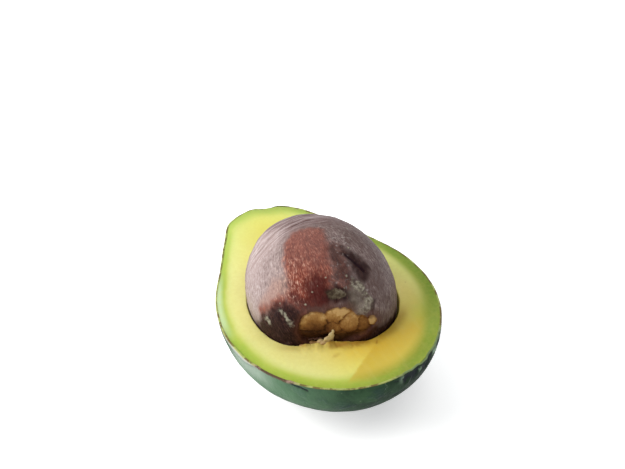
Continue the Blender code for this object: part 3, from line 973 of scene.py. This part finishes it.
def fleshMaterial():
    material, tree, shader, place = newMaterial("ripeFlesh", {
        "IOR": 1.40, "Subsurface Weight": 0.15, "Subsurface Scale": 0.003, "Specular IOR Level": 0.14,
    })
    shader.inputs["Subsurface Radius"].default_value = (1.0, 0.75, 0.25)
    broad = addNoise(tree, place, 55.0, 3.0)
    stretched = addNode(tree, "ShaderNodeMapping", {"Vector": place, "Scale": (1.0, 0.12, 1.0)}).outputs[0]
    streaks = addNoise(tree, stretched, 420.0)
    fine = useGroup(tree, mottle, {"Vector": place, "Scale": 650.0, "Detail": 4.0, "Low": 0.3, "High": 0.7})
    dots = useGroup(tree, specks, {"Vector": place, "Scale": 260.0, "Size": 0.10, "Share": 0.07})
    sway = addMath(tree, "MULTIPLY", addMath(tree, "SUBTRACT", broad, 0.5), 4.0)
    side, along, height = addNode(tree, "ShaderNodeSeparateXYZ", {0: place}).outputs
    depth = addMath(tree, "ADD", addAttribute(tree, "fromRim"), sway)
    depth = addMath(tree, "MULTIPLY", depth, addRange(tree, side, 0.000, 0.032, 1.0, 0.60))
    colour = addRamp(tree, addMath(tree, "DIVIDE", depth, 16.0), [
        (0.00, (0.190, 0.300, 0.024)), (0.12, (0.265, 0.380, 0.040)), (0.28, (0.430, 0.495, 0.080)),
        (0.48, (0.600, 0.560, 0.118)), (0.78, (0.635, 0.540, 0.102)), (1.00, (0.625, 0.500, 0.086)),
    ])
    near = addAttribute(tree, "fromHollow")
    butter = addMath(tree, "MULTIPLY", addRange(tree, side, 0.0, -0.024), addRange(tree, depth, 2.5, 6.5))
    colour = addMix(tree, addMath(tree, "MULTIPLY", butter, 0.60), colour, (0.650, 0.650, 0.300))
    # warmer orange near the hollow, stronger at the right: partly the flesh browning, partly painted shade of the seed
    # with its warm bounced light
    warm = addMath(tree, "MULTIPLY", addRange(tree, near, 14.0, 0.0), addRange(tree, broad, 0.35, 0.65, 0.5, 1.0))
    warm = addMath(tree, "MULTIPLY", warm, addRange(tree, side, -0.016, 0.010, 0.15, 1.0))
    warm = addMath(tree, "MULTIPLY", warm, addRange(tree, along, 0.012, -0.016, 0.30, 1.0))
    beyond = addMath(tree, "MULTIPLY", addAttribute(tree, "beyondRidge"), addRange(tree, depth, 1.5, 5.0))
    colour = addMix(tree, addMath(tree, "MULTIPLY", beyond, 0.78), colour, (0.520, 0.360, 0.038))
    colour = addMix(tree, addMath(tree, "MULTIPLY", warm, 0.85), colour, (0.640, 0.390, 0.036))
    lipTone = addMath(tree, "MULTIPLY", addRange(tree, near, 4.5, 0.5), addRange(tree, along, -0.018, -0.025))
    colour = addMix(tree, addMath(tree, "MULTIPLY", lipTone, 0.45), colour, (0.330, 0.190, 0.016))
    fromRim = addAttribute(tree, "fromRim")
    # darker green at the right rim: partly the flesh's own green, partly painted shade
    rightRim = addMath(tree, "MULTIPLY", addRange(tree, side, -0.014, 0.004), addRange(tree, fromRim, 9.5, 0.5))
    rightRim = addMath(tree, "MULTIPLY", rightRim, addRange(tree, along, 0.010, -0.030, 0.65, 0.95))
    colour = addMix(tree, rightRim, colour, (0.130, 0.210, 0.014))
    # painted light: paler flesh at the right of the seed, where the seed's shade falls
    paintedLightRight = addMath(tree, "MULTIPLY", addRange(tree, side, 0.006, 0.022), addRange(tree, along, -0.030, -0.008))
    paintedLightRight = addMath(tree, "MULTIPLY", paintedLightRight, addRange(tree, fromRim, 3.0, 7.0, 0.0, 0.5))
    colour = addMix(tree, paintedLightRight, colour, (0.860, 0.840, 0.330))
    frontRim = addMath(tree, "MULTIPLY", addRange(tree, along, -0.012, -0.034), addRange(tree, fromRim, 8.0, 0.5))
    colour = addMix(tree, addMath(tree, "MULTIPLY", frontRim, 0.40), colour, (0.300, 0.350, 0.045))
    colour = addMix(tree, addRange(tree, along, 0.020, 0.055, 0.0, 0.35), colour, (0.480, 0.580, 0.150))
    leftRim = addMath(tree, "MULTIPLY", addRange(tree, side, -0.026, -0.034), addRange(tree, fromRim, 3.8, 1.0))
    leftRim = addMath(tree, "MULTIPLY", leftRim, addRange(tree, along, -0.012, 0.004))
    colour = addMix(tree, addMath(tree, "MULTIPLY", leftRim, 0.6), colour, (0.520, 0.640, 0.420))
    colour = addMix(tree, addRange(tree, streaks, 0.50, 0.80, 0.0, 0.08), colour, (0.74, 0.70, 0.28))
    colour = addMix(tree, addMath(tree, "MULTIPLY", fine, 0.16), colour, (0.50, 0.43, 0.12))
    colour = addMix(tree, addMath(tree, "MULTIPLY", dots, 0.35), colour, (0.34, 0.22, 0.06))
    # stains on the cut, and one painted shadow under the torn lip
    stainAndShadow = addAttribute(tree, "stainAndShadow")
    colour = addMix(tree, addMath(tree, "MULTIPLY", stainAndShadow, 0.9), colour, (0.300, 0.150, 0.018))
    tree.links.new(colour, shader.inputs["Base Color"])
    rough = addMath(tree, "ADD", addMath(tree, "MULTIPLY", fine, 0.16), 0.42)
    tree.links.new(rough, shader.inputs["Roughness"])
    relief = addMath(tree, "ADD", addMath(tree, "MULTIPLY", streaks, 0.25), addMath(tree, "MULTIPLY", fine, 0.35))
    addBump(tree, shader, relief, 0.25, 0.0002)
    return material


# crumbs: torn bits of flesh at the lip, a shred of the coat, and tan bits of the seed

crumbValues = {
    "voxel": 0.00016,
    "roughness": 0.00022,
    # centres and radii in millimetres
    "standing": [
        ((-9.6, -28.2, 32.6), (2.7, 1.1, 1.3)), ((-8.9, -28.5, 34.0), (1.9, 0.75, 1.4)),
        ((-7.9, -28.7, 35.4), (1.2, 0.55, 1.3)), ((-7.1, -28.7, 36.9), (0.55, 0.45, 0.9)),
        ((-11.6, -27.2, 32.9), (1.4, 1.0, 1.1)),
    ],
    "lip": [
        ((-17.1, -24.3, 31.6), (1.7, 1.1, 0.7)), ((-14.4, -24.9, 31.7), (2.0, 1.1, 0.8)),
        ((-12.2, -26.2, 31.8), (1.7, 1.1, 0.8)),
    ],
    "shred": [
        ((-14.9, -23.9, 32.9), (1.0, 0.45, 0.35)), ((-13.6, -24.2, 33.0), (1.1, 0.4, 0.3)),
        ((-12.2, -24.9, 32.9), (1.1, 0.45, 0.35)), ((-10.9, -25.7, 33.0), (0.9, 0.5, 0.45)),
    ],
    "tan": [
        ((6.2, -28.4, 39.2), (1.3, 0.6, 0.9)), ((7.7, -27.9, 39.3), (0.9, 0.6, 0.7)),
    ],
}


def makeCrumb(name, balls, shift):
    made = []
    for centre, radii in balls:
        bpy.ops.mesh.primitive_ico_sphere_add(
            subdivisions=4, radius=millimetre, location=np.array(centre) * millimetre, scale=radii)
        made.append(bpy.context.active_object)
    piece = made[0]
    selectOnly(piece)
    for other in made[1:]:
        other.select_set(True)
    bpy.ops.object.join()
    piece.name = name
    bpy.ops.object.transform_apply(location=True, rotation=True, scale=True)
    merge = piece.modifiers.new("merge", "REMESH")
    merge.mode = "VOXEL"
    merge.voxel_size = crumbValues["voxel"]
    soften = piece.modifiers.new("soften", "SMOOTH")
    soften.iterations = 4
    applyModifiers(piece)
    points = getPoints(piece)
    away = points - points.mean(axis=0)
    away /= np.linalg.norm(away, axis=1, keepdims=True)
    lumps = bumps(points, 0.0016, shift) + 0.5 * bumps(points, 0.0007, shift + 5)
    setPoints(piece, points + away * (crumbValues["roughness"] * lumps)[:, None])
    bpy.ops.object.shade_smooth()
    return piece


def crumbMaterial(name, light, deep, roughness):
    material, tree, shader, place = newMaterial(name, {"IOR": 1.40, "Roughness": roughness})
    clouds = useGroup(tree, mottle, {"Vector": place, "Scale": 520.0, "Detail": 5.0, "Low": 0.35, "High": 0.65})
    parts = addNode(tree, "ShaderNodeSeparateXYZ", {0: place})
    # painted shade: each crumb darker towards its foot on the cut face; the clouds add mottled darker patches
    low = addRange(tree, parts.outputs[2], cutHeight + 0.0034, cutHeight + 0.0004)
    mixed = addMath(tree, "MAXIMUM", low, addMath(tree, "MULTIPLY", clouds, 0.45))
    tree.links.new(addMix(tree, mixed, light, deep), shader.inputs["Base Color"])
    addBump(tree, shader, clouds, 0.4, 0.0002)
    return material


def wear(piece, material):
    piece.data.materials.clear()
    piece.data.materials.append(material)


def mount(piece, nodeName=None):
    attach(piece, "root")
    if nodeName:
        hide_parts(nodeName)


# floor, light and camera

stageValues = {
    "floorSize": 6.0,
    "floorColour": (0.86, 0.86, 0.86),
    "floorGlow": 0.50,
    "keyTurn": -108,  # degrees round from the blossom end
    "keyLift": 38,
    "keyDistance": 0.62,
    "keySize": 0.60,
    "keyPower": 5.0,
    "backPower": 1.6,
    "fillPower": 1.6,
    "worldColour": (0.94, 0.97, 1.0),
    "worldStrength": 0.44,
}
cameraValues = {
    "turn": -19.37,
    "lift": 35.81,
    "roll": -6.14,
    "distance": 0.499,
    "lens": 76.3,
    "aimUp": 0.01846,  # aims above the cut face's centre
}


def lookAxes(turn, lift):
    back = Vector(direction(turn, lift))
    right = Vector((math.cos(math.radians(turn)), math.sin(math.radians(turn)), 0.0))
    return back, right, back.cross(right)


def addSoftbox(name, turn, lift, distance, size, power, colour):
    back = lookAxes(turn, lift)[0]
    bpy.ops.object.light_add(type="AREA", location=Vector((0.0, 0.0, cutHeight)) + back * distance)
    light = bpy.context.active_object
    light.name = name
    light.data.shape = "DISK"
    light.data.size = size
    light.data.energy = power
    light.data.color = colour
    light.rotation_euler = back.to_track_quat("Z", "Y").to_euler()


def makeStage():
    bpy.ops.mesh.primitive_plane_add(size=stageValues["floorSize"], location=(0, 0, 0))
    floor = bpy.context.active_object
    floor.name = "floor"
    material, tree, shader, place = newMaterial("paleFloor", {
        "Roughness": 0.7, "Specular IOR Level": 0.2, "Emission Strength": stageValues["floorGlow"],
    })
    shader.inputs["Base Color"].default_value = (*stageValues["floorColour"], 1.0)
    shader.inputs["Emission Color"].default_value = (1.0, 1.0, 1.0, 1.0)
    wear(floor, material)
    addSoftbox("key", stageValues["keyTurn"], stageValues["keyLift"], stageValues["keyDistance"],
               stageValues["keySize"], stageValues["keyPower"], (1.0, 0.99, 0.97))
    addSoftbox("back", 165, 40, 0.8, 0.5, stageValues["backPower"], (0.96, 0.98, 1.0))
    addSoftbox("fill", 65, 62, 0.8, 0.6, stageValues["fillPower"], (1.0, 0.99, 0.96))
    world = bpy.data.worlds.new("paleRoom")
    bpy.context.scene.world = world
    world.use_nodes = True
    background = world.node_tree.nodes["Background"]
    background.inputs["Color"].default_value = (*stageValues["worldColour"], 1.0)
    background.inputs["Strength"].default_value = stageValues["worldStrength"]


def makeCamera():
    back, right, up = lookAxes(cameraValues["turn"], cameraValues["lift"])
    roll = math.radians(cameraValues["roll"])
    rolledUp = up * math.cos(roll) - right * math.sin(roll)
    centre = Vector((0.0, fruit["rimShift"], cutHeight))
    place = centre + back * cameraValues["distance"]
    backward = (place - centre - rolledUp * cameraValues["aimUp"]).normalized()
    sideways = rolledUp.cross(backward).normalized()
    upward = backward.cross(sideways)
    bpy.ops.object.camera_add(location=place)
    camera = bpy.context.active_object
    camera.name = "camera"
    camera.data.lens = cameraValues["lens"]
    camera.data.sensor_width = 36.0
    camera.data.clip_start = 0.01
    camera.rotation_euler = Matrix((sideways, upward, backward)).transposed().to_euler()
    bpy.context.scene.camera = camera


print("making the peel")
skinPiece = makeSkin()
wear(skinPiece, skinMaterial())
mount(skinPiece, "skin")

print("making the flesh")
fleshPiece = makeFlesh()
wear(fleshPiece, fleshMaterial())
mount(fleshPiece, "flesh")

print("making the seed")
seedPiece = makeSeed()
wear(seedPiece, seedMaterial())
mount(seedPiece, "seed")

print("making the crumbs")
fleshCrumb = crumbMaterial("tornFlesh", (0.62, 0.49, 0.25), (0.33, 0.17, 0.05), 0.45)
brownShred = crumbMaterial("coatShred", (0.20, 0.085, 0.05), (0.12, 0.05, 0.03), 0.5)
tanCrumb = crumbMaterial("seedCrumb", (0.46, 0.30, 0.10), (0.25, 0.13, 0.04), 0.55)
for number, (name, material, slotName) in enumerate((
    ("standing", fleshCrumb, "flesh"), ("lip", fleshCrumb, "flesh"),
    ("shred", brownShred, "seed"), ("tan", tanCrumb, "seed"),
)):
    crumb = makeCrumb(name + "Crumb", crumbValues[name], number * 3.0)
    wear(crumb, material)
    mount(crumb)

print("setting the stage")
makeStage()
makeCamera()
bpy.context.scene.view_settings.view_transform = "Standard"
